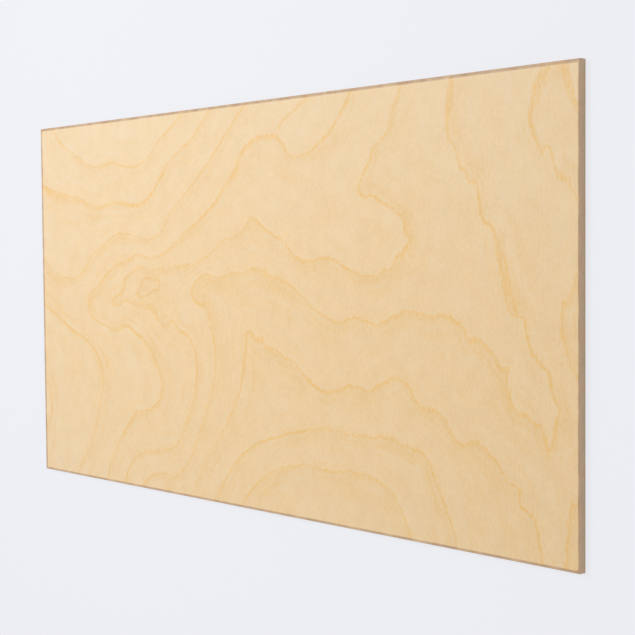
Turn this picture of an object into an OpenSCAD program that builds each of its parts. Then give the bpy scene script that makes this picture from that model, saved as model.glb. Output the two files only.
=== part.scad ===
// Plywood sheet: thin veneers glued face to face, the grain of each one
// square to its neighbours, trimmed square and bevelled on every arris.
// It lies flat with its face up. X runs along the length, Y along the width
// and the face grain, and the origin is the middle of the underside.

/* [Sheet] */
// Length of the sheet, across the face grain
sheet_length = 2440; // [600:1:3050]
// Width of the sheet, along the face grain
sheet_width = 1220; // [300:1:1525]
// Width and depth of the bevel on the arrises of the face and the back
arris_bevel = 1.8; // [0.2:0.1:2]

/* [Layup] */
// Thickness of the face veneer and of the back veneer
face_veneer_t = 0.65; // [0.3:0.05:2]
// Thickness of each cross ply, its grain along the length
cross_ply_t = 2.3; // [0.8:0.1:4]
// Thickness of each parallel ply, its grain along the width like the face
parallel_ply_t = 1.1; // [0.6:0.1:4]
// How many cross plies there are, with a parallel ply between each two
cross_ply_count = 7; // [3:1:12]

/* [Hidden] */
parallel_ply_count = cross_ply_count - 1;
// One cross ply and the parallel ply under it
layup_pitch = cross_ply_t + parallel_ply_t;
sheet_t = 2 * face_veneer_t + cross_ply_count * cross_ply_t + parallel_ply_count * parallel_ply_t;
// Underside of the face veneer, where the plies start
core_top = sheet_t - face_veneer_t;

FACE_COLOR = "#ecd2a4";
BACK_COLOR = "#e4c99c";
CROSS_COLOR = "#9a8570";
PARALLEL_COLOR = "#c6ae92";

// The plies are numbered from the face downwards

// Section through the sheet, span wide, its four corners bevelled
module bevelled_section(span) {
    half = span / 2;
    polygon([
        [-half + arris_bevel, 0],
        [half - arris_bevel, 0],
        [half, arris_bevel],
        [half, sheet_t - arris_bevel],
        [half - arris_bevel, sheet_t],
        [-half + arris_bevel, sheet_t],
        [-half, sheet_t - arris_bevel],
        [-half, arris_bevel]
    ]);
}

// A bar of that section, span wide, lying along Y
module bevelled_bar(span, bar_length) {
    translate([0, bar_length / 2, 0])
        rotate([90, 0, 0])
            linear_extrude(height = bar_length)
                bevelled_section(span);
}

// Outer form of the trimmed sheet: two bars crossed, so the bevels mitre at the corners
module trimmed_form() {
    intersection() {
        bevelled_bar(sheet_length, sheet_width);
        rotate([0, 0, 90])
            bevelled_bar(sheet_width, sheet_length);
    }
}

// One veneer: the slice of the trimmed form from bottom upwards
module veneer(bottom, thickness) {
    intersection() {
        trimmed_form();
        translate([-sheet_length / 2, -sheet_width / 2, bottom])
            cube([sheet_length, sheet_width, thickness]);
    }
}

module face_veneer() {
    color(FACE_COLOR)
        veneer(core_top, face_veneer_t);
}

module cross_ply(number) {
    color(CROSS_COLOR)
        veneer(core_top - (number - 1) * layup_pitch - cross_ply_t, cross_ply_t);
}

module parallel_ply(number) {
    color(PARALLEL_COLOR)
        veneer(core_top - number * layup_pitch, parallel_ply_t);
}

module back_veneer() {
    color(BACK_COLOR)
        veneer(0, face_veneer_t);
}

face_veneer();
for (i = [1 : cross_ply_count])
    cross_ply(i);
for (i = [1 : parallel_ply_count])
    parallel_ply(i);
back_veneer();
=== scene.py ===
# %% [markdown]
# # A sheet of birch plywood
# Plywood is a stack of thin veneers that a long knife peels off a turning log. They are glued with the
# grain of each one square to its neighbours, pressed, trimmed and sanded. The CAD model holds every veneer
# at its real size, so the lesson only dresses them: first the frame is loaded and measured, and what
# follows is fitted to those measures.

import bpy
import numpy as np
from mathutils import Matrix, Vector


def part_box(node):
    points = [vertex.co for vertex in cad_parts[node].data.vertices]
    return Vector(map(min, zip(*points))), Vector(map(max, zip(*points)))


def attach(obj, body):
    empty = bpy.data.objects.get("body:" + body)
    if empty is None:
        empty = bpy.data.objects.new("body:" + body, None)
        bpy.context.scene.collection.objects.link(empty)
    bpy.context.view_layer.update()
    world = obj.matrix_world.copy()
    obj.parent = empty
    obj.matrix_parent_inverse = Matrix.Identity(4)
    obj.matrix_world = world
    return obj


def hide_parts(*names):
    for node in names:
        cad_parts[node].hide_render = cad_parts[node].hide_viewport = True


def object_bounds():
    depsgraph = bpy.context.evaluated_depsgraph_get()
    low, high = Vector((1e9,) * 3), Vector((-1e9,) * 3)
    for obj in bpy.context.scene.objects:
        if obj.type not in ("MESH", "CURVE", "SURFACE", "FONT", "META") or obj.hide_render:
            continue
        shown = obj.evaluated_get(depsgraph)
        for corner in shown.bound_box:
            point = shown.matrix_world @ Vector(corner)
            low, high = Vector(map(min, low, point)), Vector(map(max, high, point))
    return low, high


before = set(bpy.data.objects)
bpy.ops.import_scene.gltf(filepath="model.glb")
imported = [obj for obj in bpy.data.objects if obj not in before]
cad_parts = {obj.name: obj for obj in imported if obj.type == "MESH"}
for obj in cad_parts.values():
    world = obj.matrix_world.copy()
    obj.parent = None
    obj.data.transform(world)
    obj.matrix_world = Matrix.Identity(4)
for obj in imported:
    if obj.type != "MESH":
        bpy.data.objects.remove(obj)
cad_low, cad_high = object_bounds()
half_length, half_width, thickness = cad_high
MM = 0.001
face_low, face_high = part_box("face_veneer")
# The bevel runs at 45 degrees, so it is as wide as it is deep: the face veneer's own depth of it,
# and the rest of it below that veneer
bevel = (face_high.z - face_low.z) + (half_length - face_high.x)
print(f"sheet {2 * half_length:.3f} x {2 * half_width:.3f} x {thickness:.4f} m, bevel {bevel / MM:.2f} mm")

# %% [markdown]
# ## Colours and nodes
# Colours are picked as sRGB hex, as any paint program shows them, but shaders add light up in linear
# values, so one function converts them. A second small function adds a shader node: what is the same all
# over is typed into its sockets, and what varies is linked.

# %% Two helpers


def linear(hex_colour):
    """Linear RGBA of an sRGB hex colour: a dark channel is divided by 12.92, and a lighter one has
    0.055 added, is divided by 1.055 and raised to the power of 2.4."""
    srgb = np.array([int(hex_colour[i:i + 2], 16) for i in (1, 3, 5)]) / 255
    rgb = np.where(srgb <= 0.04045, srgb / 12.92, ((srgb + 0.055) / 1.055) ** 2.4)
    return (*rgb, 1.0)


def add_node(tree, kind, inputs=None, **settings):
    """Add a node: settings are its properties, and each input is a constant, or a socket to link, or a node
    to link by its first output."""
    node = tree.nodes.new(kind)
    for name, value in settings.items():
        setattr(node, name, value)
    for socket, value in (inputs or {}).items():
        if isinstance(value, bpy.types.Node):
            value = value.outputs[0]
        if isinstance(value, bpy.types.NodeSocket):
            tree.links.new(value, node.inputs[socket])
        else:
            node.inputs[socket].default_value = value
    return node


print("birch as linear light:", np.round(linear("#f0d8b4"), 3))

# %% [markdown]
# ## Camera
# The picture shows a flat rectangle in perspective. Four corners of a rectangle of known size fix a
# camera: they give the homography, the 3 x 3 matrix that carries points of the sheet's plane to pixels.
# Moving the camera by eye would do too, but the sum is short and lands every corner on its pixel. The
# sheet lies flat here, so the camera looks down on it, turned so that the width runs up the picture.

# %% Homography from the four corners of the face
IMAGE = 635.0
CORNER_PIXELS = np.array([(40.9, 129.3), (46.8, 468.3), (580.0, 574.3), (580.0, 57.9)])
corner_plane_z = thickness - bevel
x, y = (np.array([(-1, 1), (-1, -1), (1, -1), (1, 1)]) * (half_length, half_width)).T
u, v = CORNER_PIXELS.T
one, nil = np.ones(4), np.zeros(4)
equations = np.vstack([
    np.column_stack([x, y, one, nil, nil, nil, -u * x, -u * y, -u]),
    np.column_stack([nil, nil, nil, x, y, one, -v * x, -v * y, -v]),
])
homography = np.linalg.svd(equations)[2][-1].reshape(3, 3)
print("homography\n", homography)

# %% [markdown]
# The first two columns of the homography are the sheet's X and Y axes as the lens sees them. They have to
# come out square to each other and equally long, and those two rules give the focal length and the height
# of the optical centre. That centre sits 7 pixels low, as if the picture had been trimmed a little.

# %% Focal length, optical centre and pose


def lens_terms(a, b):
    """What multiplies 1, the centre's x, its y, and (x squared + y squared + focal squared)
    in the product of two directions a and b seen through the lens."""
    return np.array([
        a[0] * b[0] + a[1] * b[1],
        -(a[0] * b[2] + a[2] * b[0]),
        -(a[1] * b[2] + a[2] * b[1]),
        a[2] * b[2],
    ])


axis_x, axis_y = homography.T[:2]
square = lens_terms(axis_x, axis_y)
equal = lens_terms(axis_x, axis_x) - lens_terms(axis_y, axis_y)
rules = np.array([square, equal])
centre_x = IMAGE / 2
centre_y, sum_of_squares = np.linalg.solve(rules[:, 2:], -rules[:, 0] - rules[:, 1] * centre_x)
focal = np.sqrt(sum_of_squares - centre_x ** 2 - centre_y ** 2)

lens = np.array([[focal, 0, centre_x], [0, focal, centre_y], [0, 0, 1]])
seen = np.linalg.inv(lens) @ homography
seen /= np.linalg.norm(seen[:, 0]) * np.sign(seen[2, 2])
turn = np.column_stack([seen[:, 0], seen[:, 1], np.cross(seen[:, 0], seen[:, 1])])
camera_place = -turn.T @ seen[:, 2] + (0, 0, corner_plane_z)

camera_data = bpy.data.cameras.new("camera")
camera_data.sensor_width = 36.0
camera_data.lens = focal / IMAGE * camera_data.sensor_width
camera_data.shift_y = (centre_y - IMAGE / 2) / IMAGE
camera = bpy.data.objects.new("camera", camera_data)
bpy.context.scene.collection.objects.link(camera)
# A picture's rows run down and its depth runs away, and a camera's own Y and Z run up and back
camera_axes = Matrix((turn.T * (1, -1, -1)).tolist())
camera.matrix_world = Matrix.Translation(camera_place) @ camera_axes.to_4x4()
bpy.context.scene.camera = camera
print(f"focal {focal:.0f} px, lens {camera_data.lens:.1f} mm, camera at {np.round(camera_place, 3)}")

# %% [markdown]
# ## Light and floor
# The sheet is lit like a product in a pale studio: an even sky that gives most of the light, a wide soft
# sun that lays a short shadow, and a lamp that hangs over the upper left of the sheet and makes the face
# fall off towards the lower right. A low light from the right lifts the sawn end that the others leave in
# the dark. Together they add up to about 1 on the face, so a colour comes out about as it is written.
#
# A backdrop could be lit until it turns pale, but that light would fall on the sheet too. So the rays that
# look at the backdrop get its colour, and all other rays get the light of the sky.

# %% Sky and backdrop
PALE = linear("#f0f1f6")
SKY = 0.5
BACKDROP = 0.95


def seen_ray(tree):
    """1 on rays from the camera and on those that gloss or glass passes on, and 0 on the rest: the largest
    of the three marks that Light Path gives."""
    path = add_node(tree, "ShaderNodeLightPath").outputs
    passed_on = add_node(tree, "ShaderNodeMath", {
        0: path["Is Glossy Ray"], 1: path["Is Transmission Ray"]}, operation="MAXIMUM")
    return add_node(tree, "ShaderNodeMath", {0: path["Is Camera Ray"], 1: passed_on}, operation="MAXIMUM")


scene = bpy.context.scene
scene.view_settings.view_transform = "Standard"
world = bpy.data.worlds.new("pale_studio")
scene.world = world
world.use_nodes = True
sky = world.node_tree
sky.nodes.clear()
daylight = add_node(sky, "ShaderNodeBackground", {"Color": (1, 1, 1, 1), "Strength": SKY})
backdrop = add_node(sky, "ShaderNodeBackground", {"Color": PALE, "Strength": BACKDROP})
mixed = add_node(sky, "ShaderNodeMixShader", {0: seen_ray(sky), 1: daylight, 2: backdrop})
add_node(sky, "ShaderNodeOutputWorld", {"Surface": mixed})
print("sky of strength", SKY, "and backdrop", np.round(PALE, 3))

# %% Sun, fill and lamp
SUN = 0.36
SUN_FROM = (-2.0, 1.6, 4.0)
FILL = 0.6
FILL_FROM = (4.0, -0.6, 1.0)
# Both are wide, about 34 degrees across, so that their shadows are soft
WIDE = 0.6
LAMP_WATTS = 61.0
LAMP_PLACE = (-1.05, 1.15, 3.75)
LAMP_SIZE = 1.2


def add_lamp(name, kind, place, target, **settings):
    """Hang a lamp at a place so that it shines towards a target."""
    data = bpy.data.lights.new(name, kind)
    for key, value in settings.items():
        setattr(data, key, value)
    lamp = bpy.data.objects.new(name, data)
    lamp.location = place
    lamp.rotation_euler = (Vector(target) - Vector(place)).to_track_quat("-Z", "Y").to_euler()
    scene.collection.objects.link(lamp)


add_lamp("soft_sun", "SUN", SUN_FROM, (0, 0, 0), energy=SUN, angle=WIDE)
add_lamp("low_fill", "SUN", FILL_FROM, (0, 0, 0), energy=FILL, angle=WIDE)
add_lamp("hung_lamp", "AREA", LAMP_PLACE, (*LAMP_PLACE[:2], 0), energy=LAMP_WATTS, size=LAMP_SIZE)
print("lights:", [light.name for light in bpy.data.lights])

# %% [markdown]
# The floor is plain pale paint. Seen directly, most of what it shows is a glow of its own colour, so that it
# stays even out to the edges of the picture, and the rest is real light, so the shadow stays.

# %% Pale floor
FLOOR_REACH = 60.0
FLOOR_GLOW = 0.82
FLOOR_DROP = 0.2 * MM


def new_material(name):
    """A material with an empty node tree, and that tree."""
    material = bpy.data.materials.new(name)
    material.use_nodes = True
    material.node_tree.nodes.clear()
    return material, material.node_tree


floor_paint, tree = new_material("pale_floor_paint")
share = add_node(tree, "ShaderNodeMath", {0: seen_ray(tree), 1: FLOOR_GLOW}, operation="MULTIPLY")
matt = add_node(tree, "ShaderNodeBsdfDiffuse", {"Color": PALE})
glow = add_node(tree, "ShaderNodeEmission", {"Color": PALE, "Strength": 1.0})
mixed = add_node(tree, "ShaderNodeMixShader", {0: share, 1: matt, 2: glow})
add_node(tree, "ShaderNodeOutputMaterial", {"Surface": mixed})

floor_mesh = bpy.data.meshes.new("pale_floor")
floor_corners = np.array([(-1, -1, 0), (1, -1, 0), (1, 1, 0), (-1, 1, 0)]) * FLOOR_REACH
floor_mesh.from_pydata((floor_corners - (0, 0, FLOOR_DROP)).tolist(), [], [(0, 1, 2, 3)])
floor_mesh.materials.append(floor_paint)
floor = bpy.data.objects.new("pale_floor", floor_mesh)
scene.collection.objects.link(floor)
print("floor reaches", FLOOR_REACH, "m each way")

# %% [markdown]
# ## The figure of the face
# A log is a stack of yearly cones, and a peeling knife cuts through them at a slant. So the rings come out
# on the veneer as the contour lines of a hilly map: the wood darkens towards the end of each year, ends in a
# thin line, and starts pale again on the other side. Noise would give some figure, but not this one, so the
# lines are drawn one by one, a few points each, as a map maker would.
#
# Points are in millimetres from the face's lower left corner. Each line runs with the pale side on its left,
# and its level counts the years: lines of one level bound the same year.

# %% Ring lines, drawn one by one
RING_LINES = [
    # the two arches at the foot of the sheet
    (0, [(1125, -15), (1170, 40), (1235, 93), (1300, 128), (1365, 149), (1450, 159), (1580, 154),
        (1650, 162), (1730, 151), (1795, 127), (1830, 86), (1890, -15)]),
    (1, [(990, -15), (1080, 98), (1140, 159), (1205, 195), (1350, 241), (1510, 270), (1680, 265),
        (1770, 270), (1850, 254), (1935, 228), (1965, 172), (2025, 60), (2045, -15)]),
    # the flame with its peak left of the middle
    (2, [(865, -15), (985, 145), (1082, 264), (1136, 355), (1159, 455), (1168, 509), (1172, 534),
        (1180, 538), (1204, 533), (1218, 518), (1250, 520), (1270, 491), (1327, 483), (1350, 465),
        (1373, 464), (1436, 423), (1500, 386), (1532, 377), (1573, 382), (1627, 403), (1664, 403),
        (1695, 393), (1773, 423), (1823, 437), (1864, 416), (1900, 372), (1977, 351), (1998, 341),
        (2031, 293), (2052, 277), (2120, 287), (2150, 266), (2188, 235), (2225, 192), (2247, 186),
        (2265, 135), (2285, 126), (2335, -15)]),
    # the pockets along the right end
    (2, [(2455, 850), (2419, 912), (2400, 935), (2373, 947), (2358, 982), (2348, 1012), (2338, 1013),
        (2327, 1001), (2311, 1024), (2298, 1050), (2285, 1090), (2287, 1122), (2291, 1153), (2300, 1178),
        (2318, 1200), (2332, 1235)]),
    (2, [(2455, 440), (2411, 505), (2396, 540), (2388, 572), (2387, 630), (2391, 652), (2403, 652),
        (2416, 672), (2424, 698), (2436, 722), (2455, 765)]),
    (2, [(2398, -15), (2402, 60), (2409, 120), (2420, 164), (2436, 172), (2455, 200)]),
    (2, [(2404, 1235), (2411, 1197), (2423, 1158), (2431, 1128), (2455, 1070)]),
    # the long line over the flame, down to a tip at the right and back up to the top edge
    (3, [(590, -15), (645, 34), (702, 58), (790, 61), (852, 95), (942, 232), (1006, 380), (1016, 440),
        (990, 555), (966, 602), (935, 608), (905, 628), (895, 648), (905, 670), (935, 697), (968, 709),
        (1040, 696), (1095, 712), (1155, 715), (1215, 729), (1300, 704), (1375, 680), (1535, 590),
        (1580, 577), (1655, 594), (1745, 576), (1860, 616), (1950, 603), (2000, 608), (2035, 598),
        (2065, 582), (2092, 549), (2112, 552), (2169, 516), (2200, 482), (2214, 482), (2219, 428),
        (2227, 405), (2250, 374), (2281, 366), (2304, 347), (2325, 347), (2338, 320), (2350, 289),
        (2362, 320), (2369, 358), (2379, 385), (2365, 405), (2352, 443), (2346, 470), (2319, 493),
        (2296, 516), (2273, 574), (2267, 604), (2246, 605), (2227, 612), (2208, 651), (2192, 712),
        (2185, 743), (2181, 782), (2169, 820), (2154, 838), (2138, 843), (2118, 905), (2106, 942),
        (2088, 945), (2069, 970), (2054, 982), (2046, 1008), (2038, 1033), (2015, 1055), (2005, 1120),
        (2010, 1165), (2023, 1235)]),
    # the line round the knot, and on to the hook
    (4, [(490, -15), (560, 90), (625, 118), (765, 142), (808, 158), (852, 220), (903, 325), (919, 400),
        (915, 440), (895, 488), (865, 513), (830, 523), (795, 550), (785, 550), (770, 535), (750, 530),
        (730, 538), (695, 575), (675, 584), (600, 599), (520, 611), (480, 597), (452, 598), (439, 611),
        (445, 622), (468, 633), (490, 637), (513, 660), (520, 690), (550, 706), (620, 731), (690, 723),
        (800, 733), (930, 743), (988, 770), (1048, 807), (1145, 830), (1212, 880), (1262, 846), (1355, 805),
        (1395, 767), (1440, 750), (1550, 758), (1620, 730), (1700, 708), (1755, 710), (1770, 725),
        (1800, 726), (1813, 747), (1826, 767), (1841, 765), (1849, 780), (1860, 788), (1872, 803),
        (1853, 820), (1847, 852), (1836, 862), (1792, 894), (1762, 902), (1742, 919), (1699, 920),
        (1669, 935), (1672, 950), (1701, 1000), (1718, 1022), (1732, 1052), (1757, 1069), (1790, 1105),
        (1797, 1133), (1826, 1188), (1856, 1235)]),
    # the line outside that, ending in the lobe at the top edge
    (5, [(390, -15), (445, 102), (505, 176), (580, 247), (662, 265), (718, 308), (727, 345), (700, 405),
        (672, 445), (620, 492), (575, 508), (550, 526), (515, 528), (490, 515), (460, 510), (400, 528),
        (330, 550), (296, 585), (300, 630), (355, 660), (400, 693), (430, 715), (500, 744), (540, 750),
        (600, 769), (650, 760), (730, 768), (800, 800), (870, 842), (995, 908), (1105, 1012), (1175, 1092),
        (1285, 1120), (1340, 1101), (1384, 1053), (1420, 1048), (1512, 1083), (1665, 1235)]),
    # the lines of the left end
    (6, [(-15, 775), (80, 715), (200, 690), (262, 711), (325, 773), (400, 802), (440, 825), (510, 842),
        (600, 830), (655, 820), (715, 831), (800, 913), (920, 998), (1106, 1158), (1190, 1235)]),
    (6, [(200, -15), (300, 122), (365, 270), (383, 345), (352, 418), (278, 472), (190, 503), (100, 549),
        (-15, 600)]),
    (7, [(-15, 1030), (70, 1003), (270, 962), (345, 934), (475, 947), (632, 942), (680, 967), (785, 1068),
        (910, 1135), (1018, 1235)]),
    (7, [(-15, 110), (42, 235), (14, 310), (-15, 340)]),
    (8, [(72, 1235), (140, 1166), (262, 1103), (330, 1074), (470, 1079), (545, 1063), (615, 1066),
        (738, 1142), (885, 1235)]),
]
# Rings that lie within a year: two that die out, and a closed one round the small knot
SHORT_RINGS = [
    [(1325, 1110), (1345, 1148), (1390, 1172), (1500, 1235)],
    [(2196, 765), (2206, 752), (2216, 710), (2232, 650), (2248, 612)],
    [(597, 643), (610, 656), (618, 674), (634, 688), (660, 693), (688, 687), (712, 689), (726, 676),
     (722, 660), (690, 651), (640, 633), (612, 632), (597, 643)],
]
LEVELS = 1 + max(level for level, _ in RING_LINES)
print(len(RING_LINES), "ring lines on", LEVELS, "levels")

# %% [markdown]
# A polyline has corners, and a ring has none. A cubic through the points, with its slope at each point
# taken from the two neighbours, rounds them off. Where a line crosses the fibres the knife tears along
# them and the line turns into a row of small teeth: here each sample slides up or down the grain by a
# little noise, which grows towards the right end and dies out where the line runs with the grain.

# %% From points to smooth and toothed lines
LINE_STEP = 6 * MM
TOOTH_PITCH = 12 * MM
TOOTH_LEFT = 2 * MM
TOOTH_RIGHT = 5 * MM
rng = np.random.default_rng(24)


def smooth_line(points_mm):
    """Samples of a cubic through the points. On each stretch it is the Hermite cubic of the two ends,
    whose slopes are those of a parabola through the point and its two neighbours, over the path's length."""
    points = np.array(points_mm, float) * MM - (half_length, half_width)
    run = np.concatenate([[0], np.cumsum(np.linalg.norm(np.diff(points, axis=0), axis=1))])
    slope = np.gradient(points, run, axis=0)
    sample = np.linspace(0, run[-1], int(run[-1] / LINE_STEP) + 2)
    i = np.clip(np.searchsorted(run, sample, side="right") - 1, 0, len(run) - 2)
    span = (run[i + 1] - run[i])[:, None]
    t = (sample - run[i])[:, None] / span
    return ((1 + 2 * t) * (1 - t) ** 2 * points[i] + t * (1 - t) ** 2 * span * slope[i]
            + t ** 2 * (3 - 2 * t) * points[i + 1] + t ** 2 * (t - 1) * span * slope[i + 1])


def heading(line):
    """Unit direction of travel at each sample: the step from the sample before to the one after."""
    step = np.gradient(line, axis=0)
    return step / np.linalg.norm(step, axis=1)[:, None]


def toothed_line(points_mm):
    """Samples of a ring and its headings. Each sample of the smooth line moves along Y by noise that is
    linear between random knots a tooth apart, times how squarely the line crosses the grain there, times
    a height that grows from the left end of the sheet to the right."""
    line = smooth_line(points_mm)
    ahead = heading(line)
    run = np.arange(len(line)) * LINE_STEP
    knots = np.arange(0, run[-1] + 2 * TOOTH_PITCH, TOOTH_PITCH)
    noise = np.interp(run, knots, rng.uniform(-1, 1, len(knots)))
    share = np.clip(line[:, 0] / (2 * half_length) + 0.5, 0, 1)
    line[:, 1] += noise * np.abs(ahead[:, 0]) * (TOOTH_LEFT + (TOOTH_RIGHT - TOOTH_LEFT) * share)
    return line, ahead


face_lines = [(level, *toothed_line(points)) for level, points in RING_LINES]
short_lines = [smooth_line(points) for points in SHORT_RINGS]
print(sum(len(line) for _, line, _ in face_lines), "samples along the rings")

# %% [markdown]
# ## From lines to a height map
# The shader needs two numbers all over the face: the height in the map, whose whole values are the lines,
# and how wide the year is there, which turns a share of the year back into millimetres. Both are worked out
# at the points of a grid and run straight between them, so a line stays crisp between the points. The cells
# are narrow across the grain and long along it, because that is how the teeth run.

# %% Signed distance to a line
# The points go through in blocks, to save memory
BLOCKS = 40


def signed_distance(points, line, ahead):
    """How far each point lies from a line, positive on the line's left. The offset from the nearest
    sample is split into a part across the heading there and a part along it, and the part along it
    counts only past half a step, which happens at the ends."""
    squares = (line ** 2).sum(1)
    nearest = np.concatenate([
        (squares - 2 * block @ line.T).argmin(1) for block in np.array_split(points, BLOCKS)])
    offset = points - line[nearest]
    along = (offset * ahead[nearest]).sum(1)
    across = ahead[nearest, 0] * offset[:, 1] - ahead[nearest, 1] * offset[:, 0]
    past = np.maximum(np.abs(along) - LINE_STEP / 2, 0)
    return np.where(across < 0, -1, 1) * np.hypot(across, past)


def nearest_of(distances):
    """The signed distance that is smallest in size, at each point."""
    distances = np.array(distances)
    return np.take_along_axis(distances, np.abs(distances).argmin(0)[None], 0)[0]


print("two helpers for distances")

# %% The grid of the face
CELL_X = 4 * MM
CELL_Y = 8 * MM

# Shares of the half length and the half width, from -1 to 1, at the columns and the rows
columns = np.linspace(-1, 1, round(2 * half_length / CELL_X) + 1)
rows = np.linspace(-1, 1, round(2 * half_width / CELL_Y) + 1)
grid_x, grid_y = np.meshgrid(columns * half_length, rows * half_width)
face_points = np.column_stack([grid_x.ravel(), grid_y.ravel()])
print(len(columns), "columns,", len(rows), "rows")

# %% Height and year width over the face
YEAR_REACH = 110 * MM

level_distance = np.array([
    nearest_of([signed_distance(face_points, line, ahead) for level, line, ahead in face_lines
                if level == wanted])
    for wanted in range(LEVELS)])
# A point's year is the number of levels whose pale side it is on. Within the year its height rises from 0
# at the line below to 1 at the line above, in the proportion of its distances to the two. A line further
# off than the reach counts as that far, so that neighbouring years don't differ too much.
year = (level_distance > 0).sum(0)
gap = np.minimum(np.abs(level_distance), YEAR_REACH)
open_row = np.full((1, gap.shape[1]), YEAR_REACH)
bounds_of_year = np.vstack([open_row, gap, open_row])
below = np.take_along_axis(bounds_of_year, year[None], 0)[0]
above = np.take_along_axis(bounds_of_year, year[None] + 1, 0)[0]
face_year = below + above
face_height = year + below / face_year
short_gap = np.abs([signed_distance(face_points, line, heading(line)) for line in short_lines]).min(0)
print(f"height map from {face_height.min():.2f} to {face_height.max():.2f} on {len(face_points)} points")

# %% [markdown]
# ## Fringes, the knot and the rim
# A ring line isn't the same all along. In places it grows a fringe on its dark side, where the knife ran
# nearly along the ring, and in places it thins out. Noise would put such places anywhere, so they are soft
# spots listed one by one, each with a centre, a half width and a half height in millimetres and a depth,
# which is below 0 where the line is thin. The small knot is a soft spot too.

# %% Soft spots on the face
FRINGES = [
    (110, 995, 95, 60, 1.15), (220, 970, 80, 50, 0.8), (600, 945, 70, 40, 0.4), (660, 950, 50, 40, 0.7),
    (1125, 1025, 40, 45, 0.8), (1265, 1120, 60, 45, 0.5), (1865, 800, 40, 50, 1.0),
    (1230, 520, 50, 40, 0.3), (2205, 690, 25, 70, 0.6), (2018, 1180, 30, 70, 0.8),
    (2305, 1150, 45, 45, 1.7), (2345, 1200, 55, 40, 2.4), (2405, 1185, 30, 45, 1.2),
    (303, 605, 40, 50, 0.6), (445, 612, 25, 25, 0.3), (513, 660, 25, 30, 0.2), (2140, 540, 60, 50, 0.5),
    (2352, 300, 25, 40, 0.4), (2410, 130, 25, 60, 0.6), (2045, 595, 70, 40, 0.3), (2190, 495, 40, 40, 0.45),
    (2250, 380, 50, 40, 0.3), (2385, 945, 40, 40, 0.3), (1185, 1090, 40, 40, 0.6),
    (1570, 1140, 90, 80, 0.3), (120, 1185, 50, 50, 0.6), (1255, 718, 60, 40, 0.4),
    (2065, 980, 50, 50, 0.25), (425, 60, 60, 80, 0.15), (530, 200, 50, 50, 0.15), (575, 508, 50, 40, 0.25),
    (810, 525, 80, 40, 0.15), (1690, 965, 40, 50, 0.25), (1800, 1145, 60, 60, 0.2),
    (365, 275, 30, 50, 0.15), (175, 510, 50, 40, 0.2), (375, 937, 40, 30, 0.2), (820, 1195, 40, 40, 0.4),
    (1035, 945, 50, 50, 0.2),
]
THIN_PLACES = [
    (780, 65, 140, 50, -0.12), (985, 330, 50, 150, -0.15), (985, 560, 50, 70, -0.15),
    (940, 695, 90, 40, -0.13), (560, 832, 200, 45, -0.15), (755, 870, 60, 60, -0.14),
    (130, 703, 80, 40, -0.12), (1450, 157, 220, 50, -0.14), (560, 603, 140, 40, -0.14),
    (1720, 712, 70, 40, -0.13), (780, 733, 60, 30, -0.14), (1110, 712, 50, 30, -0.1),
    (1585, 582, 40, 40, -0.14), (350, 1077, 110, 40, -0.13), (1160, 845, 90, 50, -0.12),
    (840, 823, 50, 40, -0.12), (1385, 1060, 40, 40, -0.12),
]
KNOT = [(660, 662, 65, 35, 1.0)]


def soft_spots(spots):
    """One row of values for each spot: its depth times a bell, which is e to the power of minus the squared
    distance from the centre, counted in half widths and half heights."""
    x, y, half_w, half_h, depth = np.array(spots, float).T[:, :, None]
    place_x, place_y = ((face_points + (half_length, half_width)) / MM).T
    return depth * np.exp(-((place_x - x) / half_w) ** 2 - ((place_y - y) / half_h) ** 2)


face_fringe = soft_spots(FRINGES).max(0) + soft_spots(THIN_PLACES).min(0)
face_knot = soft_spots(KNOT).max(0)
print(f"{len(FRINGES)} fringes, deepest {face_fringe.max():.2f}, and {len(THIN_PLACES)} thin places")

# %% [markdown]
# Handling and sanding wear the face brown along its arris. The worn rim is wider on some sides than on
# others, so the face carries its distance to the edge as a share of the rim's width there.

# %% The worn rim
RIM = {"left": 12 * MM, "right": 4 * MM, "lower": 7 * MM, "upper": 9 * MM}

edge_gap = np.min([
    (half_length + face_points[:, 0]) / RIM["left"], (half_length - face_points[:, 0]) / RIM["right"],
    (half_width + face_points[:, 1]) / RIM["lower"], (half_width - face_points[:, 1]) / RIM["upper"]], axis=0)
print(f"the rim is {min(RIM.values()) / MM:.0f} to {max(RIM.values()) / MM:.0f} mm wide")

# %% [markdown]
# ## Veneers as closed surfaces
# Every veneer is a thin closed slab. The face and the back are a grid with a sloping rim, and the plies
# between them are a rim carried round the sheet with a flat cap above and below. The joints between veneers
# aren't ruled lines: each veneer is a little thicker here and thinner there, so every joint waves gently on
# its way round the edge.

# %% The way round the sheet, and the joints between veneers
JOINT_WAVE = 0.12 * MM
JOINT_WAVES = 3
WAVE_COUNTS = (5, 90)


def joint_height(z):
    """Height of a joint round the sheet: its level, plus the mean of some waves of random whole counts and
    phases over the angle from the middle, so that the line closes."""
    angle = np.arctan2(around_y, around_x)
    counts = rng.integers(*WAVE_COUNTS, JOINT_WAVES)[:, None]
    phases = rng.uniform(0, 2 * np.pi, JOINT_WAVES)[:, None]
    return z + JOINT_WAVE * np.sin(counts * angle + phases).mean(0)


# The grid's points are numbered row by row, and its border runs anticlockwise from the lower left corner
share_x, share_y = np.meshgrid(columns, rows)
number = np.arange(share_x.size).reshape(share_x.shape)
border = np.concatenate([number[0, :-1], number[:-1, -1], number[-1, :0:-1], number[:0:-1, 0]])
around_x, around_y = share_x.ravel()[border], share_y.ravel()[border]
plies = sorted((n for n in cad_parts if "_ply_" in n), key=lambda n: -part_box(n)[1].z)
joint_levels = [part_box(name)[1].z for name in plies] + [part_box(plies[-1])[0].z]
joints = [joint_height(z) for z in joint_levels]
print(len(plies), "plies,", len(joints), "joints,", len(around_x), "points round the sheet")

# %% Putting a veneer into Blender


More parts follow.
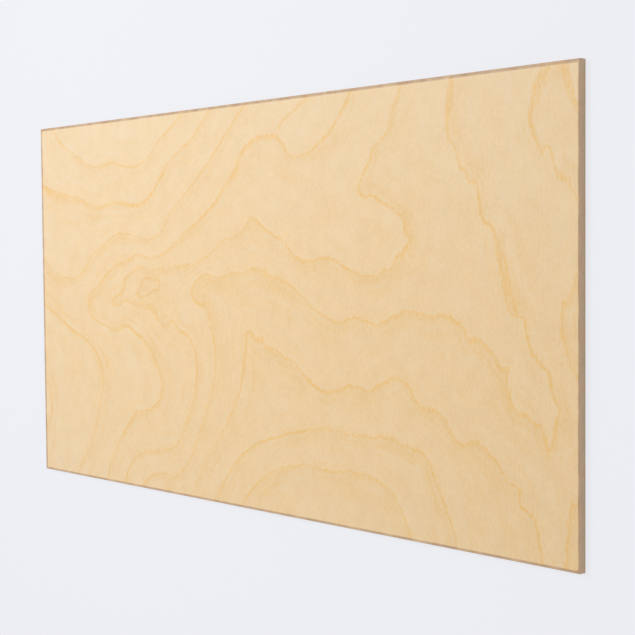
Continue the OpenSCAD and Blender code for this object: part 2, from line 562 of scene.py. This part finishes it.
def trimmed(z):
    """Points on the trimmed and bevelled edge at height z: the outline, drawn in by as much as the point
    lies inside the bevel of the face or of the back."""
    inset = np.maximum(0, bevel - np.minimum(z, thickness - z))
    return np.column_stack([(half_length - inset) * around_x, (half_width - inset) * around_y, z])


def add_piece(name, vertices, quads, caps, attributes, material, nodes):
    """Make a mesh piece with its point attributes and material, ride it on the sheet's one body and hide
    the CAD nodes it takes the place of. quads is an array, and caps are the many-sided faces that close it."""
    mesh = bpy.data.meshes.new(name)
    mesh.from_pydata(vertices.tolist(), [], quads.tolist() + [cap.tolist() for cap in caps])
    for key, values in attributes.items():
        mesh.attributes.new(key, "FLOAT", "POINT").data.foreach_set("value", values.astype(np.float32))
    mesh.materials.append(material)
    piece = bpy.data.objects.new(name, mesh)
    scene.collection.objects.link(piece)
    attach(piece, "root")
    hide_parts(*nodes)
    print(name, len(vertices), "points,", len(quads), "quads")


def add_outer_veneer(name, z_face, joint, figure, material, node):
    """Add the face or the back: a flat grid at z_face inside the bevel, and a rim that slopes along the bevel
    to the joint, where a cap closes it. The back has its faces turned over. The foot of the rim has the
    figure of the border above it."""
    flat = np.column_stack([
        ((half_length - bevel) * share_x).ravel(), ((half_width - bevel) * share_y).ravel(),
        np.full(share_x.size, z_face)])
    cells = np.stack([number[:-1, :-1], number[:-1, 1:], number[1:, 1:], number[1:, :-1]], -1).reshape(-1, 4)
    foot = len(flat) + np.arange(len(border))
    skirt = np.stack([np.roll(border, -1), border, foot, np.roll(foot, -1)], -1)
    quads, cap = np.vstack([cells, skirt]), foot[::-1]
    if z_face < joint.mean():
        quads, cap = quads[:, ::-1], foot
    attributes = {key: np.concatenate([values, values[border]]) for key, values in figure.items()}
    add_piece(name, np.vstack([flat, trimmed(joint)]), quads, [cap], attributes, material, [node])


print("three helpers for veneers")

# %% [markdown]
# ## Peeled and sanded birch
# Birch is a pale, close wood. Sanding leaves a dry satin surface, on which the rings show as golden lines,
# sharp on one side and fading on the other, over soft clouds and fine streaks along the fibre. All of these
# differ in one way only: how golden the wood is. So the material adds up one number, from 0 for the palest
# wood to 1 for the strongest line, and mixes two colours by it. The rings come from the height map, and the
# rest is noise stretched along the grain.
#
# Real fibres are a tenth of a millimetre wide, too fine for a picture of a whole sheet, so the streaks and
# flecks are drawn a few millimetres wide. One finer pattern, a bundle of fibres wide, shows only when the
# eye comes close.

# %% Noise along the grain
# Width across the grain and length along it, in millimetres, and how much finer detail there is
GRAIN = {
    "fibre": (0.9, 20, 2.0),
    "streak": (5, 80, 2.0),
    "fleck": (7, 12, 4.0),
    "cloud": (55, 60, 3.0),
    "fray": (7, 28, 2.0),
}


def grain_noise(tree, place, width, length, detail):
    """Noise whose blots are so many millimetres wide across the grain (X) and long along it (Y)."""
    stretched = add_node(tree, "ShaderNodeMapping", {
        "Vector": place, "Scale": (1 / (width * MM), 1 / (length * MM), 1)})
    return add_node(tree, "ShaderNodeTexNoise", {
        "Vector": stretched, "Scale": 1.0, "Detail": detail, "Roughness": 0.55})


print("patterns along the grain:", ", ".join(GRAIN))

# %% [markdown]
# Within a year the wood lies in thin layers that follow the ring. Noise in four dimensions gives them:
# three are the place, which changes slowly, and the fourth is the height in the map, which changes quickly
# across the ring. The late wood, grown towards the end of the year, is darker, in patches.

# %% Layers and late wood
LAYERS_PER_YEAR = 8.0
LAYER_LENGTH = 150 * MM
LATE_FROM = 0.4


def year_layers(tree, place, height):
    """Noise at the place over a layer's length, and at the height times the layers in a year."""
    layer = add_node(tree, "ShaderNodeMath", {0: height, 1: LAYERS_PER_YEAR}, operation="MULTIPLY")
    along = add_node(tree, "ShaderNodeVectorMath", {0: place, 3: 1 / LAYER_LENGTH}, operation="SCALE")
    return add_node(tree, "ShaderNodeTexNoise", {
        "Vector": along, "W": layer, "Scale": 1.0, "Detail": 4.0, "Roughness": 0.6},
        noise_dimensions="4D")


def late_wood(tree, through, layers):
    """A smooth step from 0 to 1 over the last part of the year, times 0.2 to 1 from the layers."""
    late = add_node(tree, "ShaderNodeMapRange", {
        "Value": through, "From Min": LATE_FROM, "From Max": 1.0}, interpolation_type="SMOOTHSTEP")
    patchy = add_node(tree, "ShaderNodeMapRange", {
        "Value": layers, "From Min": 0.35, "From Max": 0.65, "To Min": 0.2, "To Max": 1.0})
    return add_node(tree, "ShaderNodeMath", {0: late, 1: patchy}, operation="MULTIPLY")


print(LAYERS_PER_YEAR, "layers a year")

# %% [markdown]
# The line at the end of a year has a sharp side and a soft one. A band of colour at a fixed share of the
# year would be wide in a wide year, so the line is drawn by its distance in metres: the share of the year
# times the year's width. A little noise along the fibre frays that distance, more so towards the right end.

# %% Ring lines
# How far a line frays, and how wide it is on its dark side, at the left end and at the right end
FRAY_DEPTH = (16 * MM, 30 * MM)
LINE_WIDTH = (8 * MM, 11 * MM)
# The line is at its strongest this far before its end, and gone this far after it
LINE_CORE = 1 * MM
LINE_STOP = 2.5 * MM
# A fringe of depth 1 is this much wider than the line
FRINGE_DEPTH = 40 * MM
# A short ring is at its strongest up to the first distance, and gone at the second
SHORT_RING = (2 * MM, 7 * MM)


def frayed_distance(tree, along_sheet, through, year, fray):
    """Distance to the nearest line in metres, below 0 on its dark side: the share of the year, less 1 in the
    second half of it, times the year's width, plus noise times a depth that grows along the sheet."""
    second_half = add_node(tree, "ShaderNodeMath", {0: through, 1: 0.5}, operation="GREATER_THAN")
    share = add_node(tree, "ShaderNodeMath", {0: through, 1: second_half}, operation="SUBTRACT")
    depth = add_node(tree, "ShaderNodeMapRange", {
        "Value": along_sheet, "From Min": -1.0, "From Max": 1.0,
        "To Min": FRAY_DEPTH[0], "To Max": FRAY_DEPTH[1]})
    frayed = add_node(tree, "ShaderNodeMath", {0: fray, 1: 0.5}, operation="SUBTRACT")
    frayed = add_node(tree, "ShaderNodeMath", {0: frayed, 1: depth}, operation="MULTIPLY")
    return add_node(tree, "ShaderNodeMath", {0: share, 1: year, 2: frayed}, operation="MULTIPLY_ADD")


def ring_line(tree, along_sheet, distance, figure, noise):
    """How strongly a line marks the wood, from 0 to 1: a smooth rise over the line's width, or deeper where
    there is a fringe, and a quick fall after its end. Short rings join in by their own distance. Streaks
    break the line, and a fringe falls apart into strokes."""
    width = add_node(tree, "ShaderNodeMapRange", {
        "Value": along_sheet, "From Min": -0.5, "From Max": 1.1,
        "To Min": -LINE_WIDTH[0], "To Max": -LINE_WIDTH[1]})
    start = add_node(tree, "ShaderNodeMath", {
        0: figure["fringe"], 1: -FRINGE_DEPTH, 2: width}, operation="MULTIPLY_ADD")
    rise = add_node(tree, "ShaderNodeMapRange", {
        "Value": distance, "From Min": start, "From Max": -LINE_CORE},
        interpolation_type="SMOOTHSTEP")
    fall = add_node(tree, "ShaderNodeMapRange", {
        "Value": distance, "From Min": 0.0, "From Max": LINE_STOP, "To Min": 1.0, "To Max": 0.0})
    line = add_node(tree, "ShaderNodeMath", {0: rise, 1: fall}, operation="MULTIPLY")
    short = add_node(tree, "ShaderNodeMapRange", {
        "Value": figure["short_gap"], "From Min": SHORT_RING[0], "From Max": SHORT_RING[1],
        "To Min": 1.0, "To Max": 0.0})
    line = add_node(tree, "ShaderNodeMath", {0: line, 1: short}, operation="MAXIMUM")
    broken = add_node(tree, "ShaderNodeMapRange", {
        "Value": noise["streak"], "From Min": 0.35, "From Max": 0.6, "To Min": 0.4, "To Max": 1.0})
    line = add_node(tree, "ShaderNodeMath", {0: line, 1: broken}, operation="MULTIPLY")
    bare = add_node(tree, "ShaderNodeMath", {
        0: figure["fringe"], 1: -0.5, 2: 1.0}, operation="MULTIPLY_ADD", use_clamp=True)
    strokes = add_node(tree, "ShaderNodeMapRange", {
        "Value": noise["fray"], "From Min": 0.4, "From Max": 0.56, "To Min": bare, "To Max": 1.0})
    return add_node(tree, "ShaderNodeMath", {0: line, 1: strokes}, operation="MULTIPLY")


print(f"lines {LINE_WIDTH[0] / MM:.0f} to {LINE_WIDTH[1] / MM:.0f} mm wide")

# %% [markdown]
# Now the patterns are added up. The wood also drifts from paler at the upper left of the sheet to more
# golden at the lower right, partly in its own tone and partly as painted light that falls off from the lamp
# at the upper left, and from golden in the middle to paler at the long edges.

# %% How golden the wood is
# What each pattern adds: noise by its distance from its mean of a half, the rest from 0 upwards
GOLD = {
    "cloud": 0.24, "streak": 0.34, "fleck": 0.6, "fibre": 0.6,
    "layers": 1.0, "off_centre": -0.26, "late": 0.2, "knot": 0.12, "line": 0.5,
}
# The slant over which the wood drifts, in metres of X less so many of Y, and the gold at its two ends. The
# drift is partly the wood's own tone and partly painted light, paler where the lamp falls at the upper left
SLANT_Y = 2.5
SLANT_REACH = 2.75
DRIFT_WITH_PAINTED_LIGHT = (0.214, 0.532)
# Metres off the middle count in full across the sheet, and only a part of them along it
OFF_CENTRE = (0.3, 1.0, 0.0)
# The layers show more at the left end than from the middle on
LAYER_CONTRAST = (0.9, 0.52)


def golden_share(tree, place, axes, patterns):
    """How golden the wood is: the drift, which is partly painted light, plus every pattern times what it
    adds.
    The layers count from their mean of a half, times their contrast, and off_centre is the squared distance
    from the middle."""
    slant = add_node(tree, "ShaderNodeMath", {
        0: axes["Y"], 1: -SLANT_Y, 2: axes["X"]}, operation="MULTIPLY_ADD")
    noise_mean = 0.5 * sum(GOLD[key] for key in GRAIN if key in GOLD)
    # The drift from pale at the upper left to golden at the lower right is partly the wood's tone and partly
    # painted light
    gold = add_node(tree, "ShaderNodeMapRange", {
        "Value": slant, "From Min": -SLANT_REACH, "From Max": SLANT_REACH,
        "To Min": DRIFT_WITH_PAINTED_LIGHT[0] - noise_mean, "To Max": DRIFT_WITH_PAINTED_LIGHT[1] - noise_mean})
    off = add_node(tree, "ShaderNodeVectorMath", {0: place, 1: OFF_CENTRE}, operation="MULTIPLY")
    off = add_node(tree, "ShaderNodeVectorMath", {0: off, 1: off}, operation="DOT_PRODUCT").outputs["Value"]
    contrast = add_node(tree, "ShaderNodeMapRange", {
        "Value": axes["X"], "From Min": -1.1, "From Max": 0.3,
        "To Min": LAYER_CONTRAST[0], "To Max": LAYER_CONTRAST[1]})
    layers = add_node(tree, "ShaderNodeMath", {0: patterns["layers"], 1: 0.5}, operation="SUBTRACT")
    layers = add_node(tree, "ShaderNodeMath", {0: layers, 1: contrast}, operation="MULTIPLY")
    patterns = {**patterns, "off_centre": off, "layers": layers}
    for key, amount in GOLD.items():
        gold = add_node(tree, "ShaderNodeMath", {
            0: patterns[key], 1: amount, 2: gold}, operation="MULTIPLY_ADD")
    return gold


print("gold is added by:", ", ".join(GOLD))

# %% [markdown]
# Last come the brown of the worn rim and of the knot, a painted highlight just inside the rim, the satin of
# sanded wood, a little uneven from fibre to fibre, and a bump as fine as the fibres.

# %% Birch veneer material
FIGURE = ("ring_height", "year_width", "short_gap", "fringe", "edge_gap", "knot")
WOOD_IOR = 1.5


def dimmed_and_highlit(tree, colour, late, edge, noise):
    """The colour times a number near 1: 1.03 to 0.97 over clouds and flecks, up to 0.025 less in late wood,
    and up to 0.02 more just inside the worn rim, which is a painted highlight along the arris."""
    uneven = add_node(tree, "ShaderNodeMath", {0: noise["cloud"], 1: noise["fleck"]}, operation="ADD")
    dim = add_node(tree, "ShaderNodeMapRange", {
        "Value": uneven, "From Min": 0.7, "From Max": 1.3, "To Min": 1.03, "To Max": 0.97})
    dim = add_node(tree, "ShaderNodeMath", {0: late, 1: -0.025, 2: dim}, operation="MULTIPLY_ADD")
    # Painted highlight: the wood is made up to 0.02 brighter in a thin band just inside the worn rim
    painted_highlight = add_node(tree, "ShaderNodeMapRange", {
        "Value": edge, "From Min": 1.0, "From Max": 1.7, "To Min": 0.02, "To Max": 0.0})
    dim = add_node(tree, "ShaderNodeMath", {0: dim, 1: painted_highlight}, operation="ADD")
    return add_node(tree, "ShaderNodeVectorMath", {0: colour, 3: dim}, operation="SCALE")


def browned(tree, colour, brown, line, figure, cloud):
    """The colour mixed with brown on the worn rim, in patches, and on the knot, most of all on its ring."""
    worn = add_node(tree, "ShaderNodeMapRange", {
        "Value": figure["edge_gap"], "From Min": 0.55, "From Max": 1.0,
        "To Min": 0.85, "To Max": 0.0})
    patches = add_node(tree, "ShaderNodeMapRange", {
        "Value": cloud, "From Min": 0.35, "From Max": 0.6, "To Min": 0.6, "To Max": 1.0})
    worn = add_node(tree, "ShaderNodeMath", {0: worn, 1: patches}, operation="MULTIPLY")
    knotty = add_node(tree, "ShaderNodeMath", {0: line, 1: 0.22, 2: 0.04}, operation="MULTIPLY_ADD")
    worn = add_node(tree, "ShaderNodeMath", {
        0: figure["knot"], 1: knotty, 2: worn}, operation="MULTIPLY_ADD")
    return add_node(tree, "ShaderNodeMix", {
        0: worn, 6: colour, 7: linear(brown)}, data_type="RGBA").outputs[2]


def birch_veneer(name, pale, golden, brown):
    """Rotary-cut and sanded birch: to the eye a pale satin wood that turns golden up to each ring."""
    material, tree = new_material(name)
    place = add_node(tree, "ShaderNodeTexCoord").outputs["Object"]
    axes = add_node(tree, "ShaderNodeSeparateXYZ", {0: place}).outputs
    figure = {
        key: add_node(tree, "ShaderNodeAttribute", attribute_name=key).outputs["Fac"] for key in FIGURE}
    noise = {key: grain_noise(tree, place, *size) for key, size in GRAIN.items()}
    layers = year_layers(tree, place, figure["ring_height"])
    # how far through its year the wood is, 0 just after a line and 1 just before the next
    through = add_node(tree, "ShaderNodeMath", {0: figure["ring_height"]}, operation="FRACT")
    late = late_wood(tree, through, layers)
    distance = frayed_distance(tree, axes["X"], through, figure["year_width"], noise["fray"])
    line = ring_line(tree, axes["X"], distance, figure, noise)
    gold = golden_share(tree, place, axes, {
        **noise, "layers": layers, "late": late, "knot": figure["knot"], "line": line})
    colour = add_node(tree, "ShaderNodeMix", {
        0: gold, 6: linear(pale), 7: linear(golden)}, data_type="RGBA").outputs[2]
    colour = dimmed_and_highlit(tree, colour, late, figure["edge_gap"], noise)
    colour = browned(tree, colour, brown, line, figure, noise["cloud"])
    fibres = add_node(tree, "ShaderNodeMath", {0: noise["streak"], 1: noise["fibre"]}, operation="ADD")
    satin = add_node(tree, "ShaderNodeMapRange", {
        "Value": fibres, "From Min": 0.7, "From Max": 1.3, "To Min": 0.52, "To Max": 0.64})
    bump = add_node(tree, "ShaderNodeBump", {"Height": fibres, "Strength": 0.2, "Distance": 0.1 * MM})
    wood = add_node(tree, "ShaderNodeBsdfPrincipled", {
        "Base Color": colour, "Roughness": satin, "Normal": bump, "IOR": WOOD_IOR})
    add_node(tree, "ShaderNodeOutputMaterial", {"Surface": wood})
    return material


sanded_birch = birch_veneer("sanded_birch_face", "#f0d8b4", "#f3c67c", "#b28f72")
sanded_birch_back = birch_veneer("sanded_birch_back", "#ebd0a8", "#ecbc76", "#a98769")
print("materials:", sanded_birch.name, sanded_birch_back.name)

# %% The face veneer
face_figure = dict(zip(FIGURE, (face_height, face_year, short_gap, face_fringe, edge_gap, face_knot)))
add_outer_veneer(
    "birch_face", thickness, joints[0], face_figure, sanded_birch, "face_veneer")

# %% [markdown]
# ## The back
# Nothing shows of the back, so it gets a calmer sheet of the same wood. Its map is a plain tilted hill with
# long waves, and a year is as wide as the map is flat: one over how steeply it climbs. It has no short
# rings, fringes or knot.

# %% The back veneer
BACK_LEVEL = 3.0
# Years that the map climbs for each metre of width
BACK_TILT = 0.8
# Height of each wave in years, its turns in radians a metre along X and along Y, and where it starts
BACK_WAVES = [(2.6, 1.1, 0.0, 0.4 + np.pi / 2), (0.35, 5.0, 2.0, 0.0), (0.25, 9.0, -4.0, 1.0)]
LEAST_CLIMB = 0.2
# Far enough from any short ring
NO_RING = 1.0

back_x, back_y = face_points.T
back_height = BACK_LEVEL + BACK_TILT * back_y + sum(
    height * np.sin(turn_x * back_x + turn_y * back_y + start)
    for height, turn_x, turn_y, start in BACK_WAVES)
climb_y, climb_x = np.gradient(back_height.reshape(grid_x.shape), grid_y[:, 0], grid_x[0])
back_year = 1 / np.maximum(np.hypot(climb_x, climb_y).ravel(), LEAST_CLIMB)
plain = np.zeros(len(face_points))
back_figure = dict(zip(FIGURE, (back_height, back_year, plain + NO_RING, plain, edge_gap, plain)))
add_outer_veneer("birch_back", 0.0, joints[-1], back_figure, sanded_birch_back, "back_veneer")

# %% [markdown]
# ## Plies on the sawn edge
# The saw cuts each ply either across its fibres or along them. Across, the open ends drink the light and
# the ply looks grey-brown and dotted. Along, it stays pale and streaky. The grain turns by a right angle
# from ply to ply, so on every edge dark and pale lines take turns, and they change places round the corner.

# %% Core veneer material
END_GRAIN = ("#ab947b", "#be9b7d")
LONG_GRAIN = ("#e0c9a9", "#d5af87")
# Size and detail of three patterns: open pores, clouds of colour and the marks of the saw. Real pores are a
# tenth of a millimetre wide, and are drawn coarser so that they show
SAWN = [(0.7 * MM, 2.0), (60 * MM, 2.0), (3 * MM, 1.0)]
STREAKS_PER_MM = 0.9
STREAK_LENGTH = 40 * MM
CORE_ROUGHNESS = 0.75


def toned(tree, warm, colours, pattern, spread, dark, light):
    """Two colours mixed by how warm the ply is, times a shade from dark to light that follows the pattern
    from spread below its mean of a half to spread above it."""
    mixed = add_node(tree, "ShaderNodeMix", {
        0: warm, 6: linear(colours[0]), 7: linear(colours[1])}, data_type="RGBA").outputs[2]
    shade = add_node(tree, "ShaderNodeMapRange", {
        "Value": pattern, "From Min": 0.5 - spread, "From Max": 0.5 + spread,
        "To Min": dark, "To Max": light})
    return add_node(tree, "ShaderNodeVectorMath", {0: mixed, 3: shade}, operation="SCALE")


def core_veneer(name, grain_axis):
    """Unsanded birch of the inner plies: dotted end grain where the surface faces along the grain axis,
    and pale streaks where it faces across it, stained darker by the glue at the joints."""
    material, tree = new_material(name)
    coordinates = add_node(tree, "ShaderNodeTexCoord").outputs
    place = coordinates["Object"]
    tone = add_node(tree, "ShaderNodeAttribute", attribute_name="veneer_tone").outputs["Fac"]
    glue = add_node(tree, "ShaderNodeAttribute", attribute_name="glue").outputs["Fac"]
    facing = add_node(tree, "ShaderNodeSeparateXYZ", {0: coordinates["Normal"]}).outputs[grain_axis]
    facing = add_node(tree, "ShaderNodeMath", {0: facing}, operation="ABSOLUTE")
    end = add_node(tree, "ShaderNodeMapRange", {"Value": facing, "From Min": 0.45, "From Max": 0.6})

    pore, cloud, saw = [
        add_node(tree, "ShaderNodeTexNoise", {"Vector": place, "Scale": 1 / size, "Detail": detail})
        for size, detail in SAWN]
    scale = [1 / STREAK_LENGTH if axis == grain_axis else STREAKS_PER_MM / MM for axis in "XYZ"]
    stretched = add_node(tree, "ShaderNodeMapping", {"Vector": place, "Scale": scale})
    streak = add_node(tree, "ShaderNodeTexNoise", {"Vector": stretched, "Scale": 1.0, "Detail": 3.0})

    warm = add_node(tree, "ShaderNodeMapRange", {
        "Value": cloud, "From Min": 0.35, "From Max": 0.65, "To Min": -0.25, "To Max": 0.25})
    warm = add_node(tree, "ShaderNodeMath", {0: warm, 1: tone}, operation="ADD", use_clamp=True)
    colour = add_node(tree, "ShaderNodeMix", {
        0: end, 6: toned(tree, warm, LONG_GRAIN, streak, 0.2, 0.85, 1.12),
        7: toned(tree, warm, END_GRAIN, pore, 0.15, 0.72, 1.25)}, data_type="RGBA").outputs[2]
    stain = add_node(tree, "ShaderNodeMapRange", {
        "Value": glue, "From Min": 0.2, "From Max": 1.0, "To Min": 1.0, "To Max": 0.8})
    colour = add_node(tree, "ShaderNodeVectorMath", {0: colour, 3: stain}, operation="SCALE")

    surface = add_node(tree, "ShaderNodeMath", {0: pore, 1: saw}, operation="ADD")
    bump = add_node(tree, "ShaderNodeBump", {"Height": surface, "Strength": 0.35, "Distance": 0.2 * MM})
    wood = add_node(tree, "ShaderNodeBsdfPrincipled", {
        "Base Color": colour, "Roughness": CORE_ROUGHNESS, "Normal": bump, "IOR": WOOD_IOR})
    add_node(tree, "ShaderNodeOutputMaterial", {"Surface": wood})
    return material


core_materials = {
    "cross_ply": core_veneer("sawn_birch_cross_ply", "X"),
    "parallel_ply": core_veneer("sawn_birch_parallel_ply", "Y"),
}
print("materials:", [m.name for m in core_materials.values()])

# %% [markdown]
# A ply's rim has four rows of points: its two joints, and a row a fifth of a millimetre inside each, which
# the saw leaves a hair lower than the hard glue at the joint. The first and the last ply carry the foot of
# the bevel, so they get one more row there.

# %% The plies
GLUE_DEPTH = 0.2 * MM
SINK = 0.08 * MM
# How pink each ply is, from the face downwards: the first and the middle cross plies are the warmest
PLY_TONES = [0.9, 0.3, 0.1, 0.4, 0.15, 0.6, 0.8, 0.3, 0.1, 0.4, 0.1, 0.7, 0.2]


def ply_rim(top, bottom):
    """Vertices, quads, caps and glue attribute of a ply: rows of points round the sheet from one joint to
    the other, on the trimmed edge, with the inner rows sunk a little, joined by quads and capped."""
    heights = [bottom, bottom + GLUE_DEPTH, top - GLUE_DEPTH, top]
    glue = [1.0, 0.0, 0.0, 1.0]
    for knee in (bevel, thickness - bevel):
        if (heights[1] < knee).all() and (knee < heights[2]).all():
            heights.insert(2, np.full(len(top), knee))
            glue.insert(2, 0.0)
    points = np.stack([trimmed(z) for z in heights])
    sunk = np.array(glue)[:, None] < 0.5
    points[..., 0] -= SINK * sunk * around_x
    points[..., 1] -= SINK * sunk * around_y
    number = np.arange(points[..., 0].size).reshape(points.shape[:2])
    turned = np.roll(number, -1, 1)
    quads = np.stack([number[:-1], turned[:-1], turned[1:], number[1:]], -1).reshape(-1, 4)
    caps = [number[0, ::-1], number[-1]]
    return points.reshape(-1, 3), quads, caps, np.repeat(glue, len(top))


for name, tone, top, bottom in zip(plies, PLY_TONES, joints[:-1], joints[1:]):
    kind = name.rsplit("_", 1)[0]
    vertices, quads, caps, glue = ply_rim(top, bottom)
    figure = {"glue": glue, "veneer_tone": np.full(len(vertices), tone)}
    add_piece("birch_" + name, vertices, quads, caps, figure, core_materials[kind], [name])
print("plies:", ", ".join(plies))
